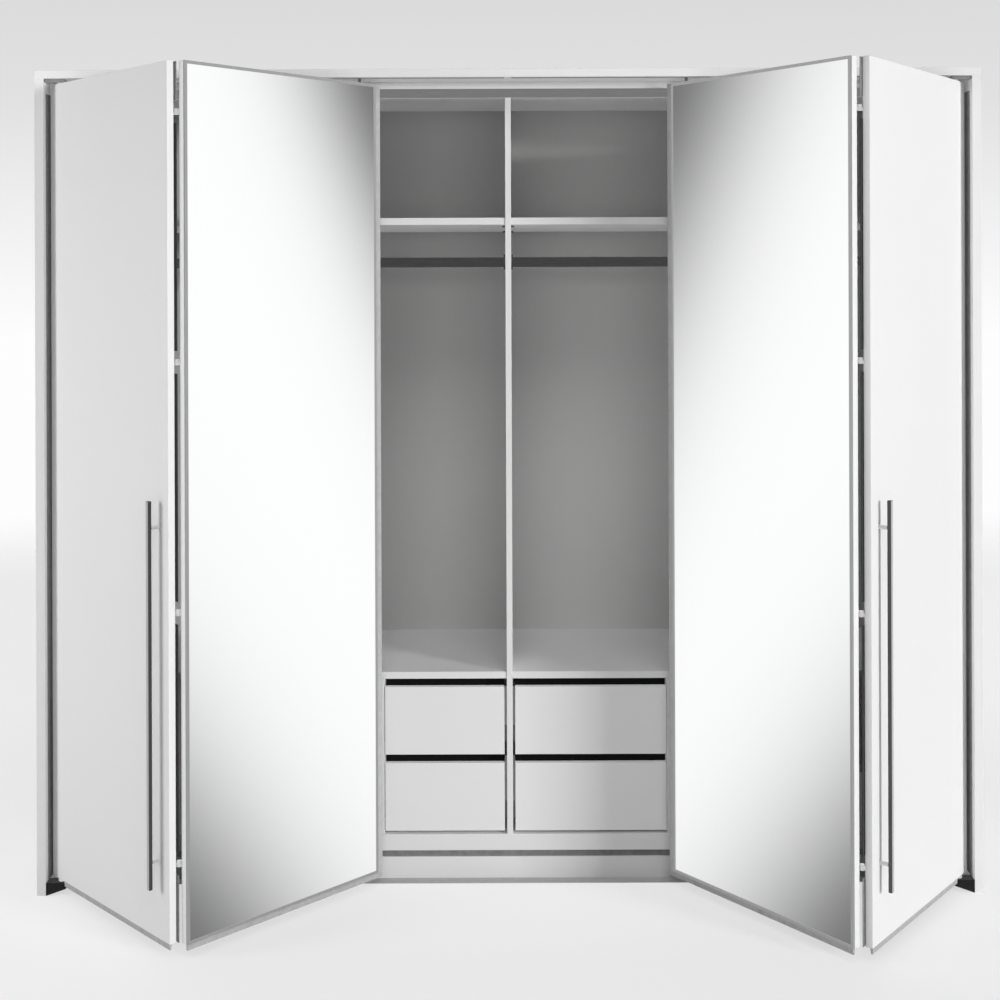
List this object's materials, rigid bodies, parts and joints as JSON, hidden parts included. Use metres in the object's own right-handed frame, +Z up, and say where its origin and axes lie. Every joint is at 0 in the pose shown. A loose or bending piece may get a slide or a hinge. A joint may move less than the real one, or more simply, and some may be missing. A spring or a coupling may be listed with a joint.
{
  "type": "bi-fold door wardrobe",
  "caption": "Straight wardrobe with half-mirrored bi-fold doors, a centre partition, hat shelves, clothes rails and drawers.",
  "frame": {"origin": "on the floor, in the middle of the wardrobe's width and of its side panels' depth", "axes": "+X to the right seen from the front, +Y to the wall behind, +Z up; the doors face -Y"},
  "size_m": [2.5, 1.0485, 2.22],
  "materials": {
    "white_lacquer": "satin white lacquer on board",
    "white_melamine": "matte white melamine board",
    "grey_decor": "matte grey decor board",
    "mirror": "silvered float glass, polished",
    "aluminium": "satin anodised",
    "dark_metal": "dark satin paint",
    "black_plastic": "matte black",
    "black_grip": "matte black",
    "steel": "nickel plated",
    "nylon": "natural nylon"
  },
  "bodies": {
    "carcass": {"side_panel_left": "white_lacquer", "side_panel_right": "white_lacquer", "top_board_left": "white_lacquer", "top_board_right": "white_lacquer", "carcass_top": "white_melamine", "base_panel": "white_melamine", "base_lipping": "white_melamine", "plinth_front": "white_melamine", "plinth_ribs": "white_melamine", "centre_partition": "white_melamine", "hat_shelf_left": "white_melamine", "hat_shelf_right": "white_melamine", "drawer_shelf_left": "white_melamine", "drawer_shelf_right": "white_melamine", "drawer_support_left": "white_melamine", "drawer_support_right": "white_melamine", "back_panel_left": "grey_decor", "back_panel_right": "grey_decor", "top_rail": "aluminium", "guide_channels": "aluminium", "clothes_rail_left": "dark_metal", "clothes_rail_right": "dark_metal", "rail_flanges": "dark_metal", "top_pivot_brackets": "black_plastic", "bottom_pivot_brackets": "black_plastic", "shelf_supports": "steel", "drawer_runner_rails": "steel", "wall_brackets": "steel"},
    "left_outer_leaf": {"left_outer_panel": "white_lacquer", "left_handle": "dark_metal", "left_pivot_pins": "steel", "left_fold_hinges_outer": "steel"},
    "left_inner_leaf": {"left_inner_panel": "white_lacquer", "left_mirror": "mirror", "left_edge_profile": "aluminium", "left_fold_hinges_inner": "steel", "left_guide_pin": "steel"},
    "left_guide_roller": {"left_guide_roller": "nylon"},
    "drawer_lower_left": {"drawer_lower_left_front": "white_lacquer", "drawer_lower_left_box": "white_melamine", "drawer_lower_left_grip": "black_grip"},
    "drawer_upper_left": {"drawer_upper_left_front": "white_lacquer", "drawer_upper_left_box": "white_melamine", "drawer_upper_left_grip": "black_grip"},
    "right_outer_leaf": {"right_outer_panel": "white_lacquer", "right_handle": "dark_metal", "right_pivot_pins": "steel", "right_fold_hinges_outer": "steel"},
    "right_inner_leaf": {"right_inner_panel": "white_lacquer", "right_mirror": "mirror", "right_edge_profile": "aluminium", "right_fold_hinges_inner": "steel", "right_guide_pin": "steel"},
    "right_guide_roller": {"right_guide_roller": "nylon"},
    "drawer_lower_right": {"drawer_lower_right_front": "white_lacquer", "drawer_lower_right_box": "white_melamine", "drawer_lower_right_grip": "black_grip"},
    "drawer_upper_right": {"drawer_upper_right_front": "white_lacquer", "drawer_upper_right_box": "white_melamine", "drawer_upper_right_grip": "black_grip"}
  },
  "joints": [
    {"name": "left_door_pivot", "type": "hinge", "parent": "carcass", "child": "left_outer_leaf", "pos_m": [-1.188, -0.2895, 0.042], "axis": [0, 0, -1], "range_deg": [-46.7, 38.3]},
    {"name": "left_fold", "type": "hinge", "parent": "left_outer_leaf", "child": "left_inner_leaf", "pos_m": [-0.79024, -0.68826, 0.23], "axis": [0, 0, 1], "range_deg": [-93.4, 76.6]},
    {"name": "left_roller_spin", "type": "hinge", "parent": "left_inner_leaf", "child": "left_guide_roller", "pos_m": [-0.39248, -0.2895, 2.16], "axis": [0, 0, 1], "continuous": true},
    {"name": "right_door_pivot", "type": "hinge", "parent": "carcass", "child": "right_outer_leaf", "pos_m": [1.188, -0.2895, 0.042], "axis": [0, 0, 1], "range_deg": [-52.3, 32.7]},
    {"name": "right_fold", "type": "hinge", "parent": "right_outer_leaf", "child": "right_inner_leaf", "pos_m": [0.83105, -0.72517, 0.23], "axis": [0, 0, -1], "range_deg": [-104.6, 65.4]},
    {"name": "right_roller_spin", "type": "hinge", "parent": "right_inner_leaf", "child": "right_guide_roller", "pos_m": [0.4741, -0.2895, 2.16], "axis": [0, 0, 1], "continuous": true},
    {"name": "drawer_lower_left_slide", "type": "slide", "parent": "carcass", "child": "drawer_lower_left", "axis": [0, -1, 0], "range_m": [0, 0.36]},
    {"name": "drawer_upper_left_slide", "type": "slide", "parent": "carcass", "child": "drawer_upper_left", "axis": [0, -1, 0], "range_m": [0, 0.36]},
    {"name": "drawer_lower_right_slide", "type": "slide", "parent": "carcass", "child": "drawer_lower_right", "axis": [0, -1, 0], "range_m": [0, 0.36]},
    {"name": "drawer_upper_right_slide", "type": "slide", "parent": "carcass", "child": "drawer_upper_right", "axis": [0, -1, 0], "range_m": [0, 0.36]}
  ],
  "couplings": [
    {"joint": "left_fold", "follows": "left_door_pivot", "ratio": 2},
    {"joint": "right_fold", "follows": "right_door_pivot", "ratio": 2}
  ]
}
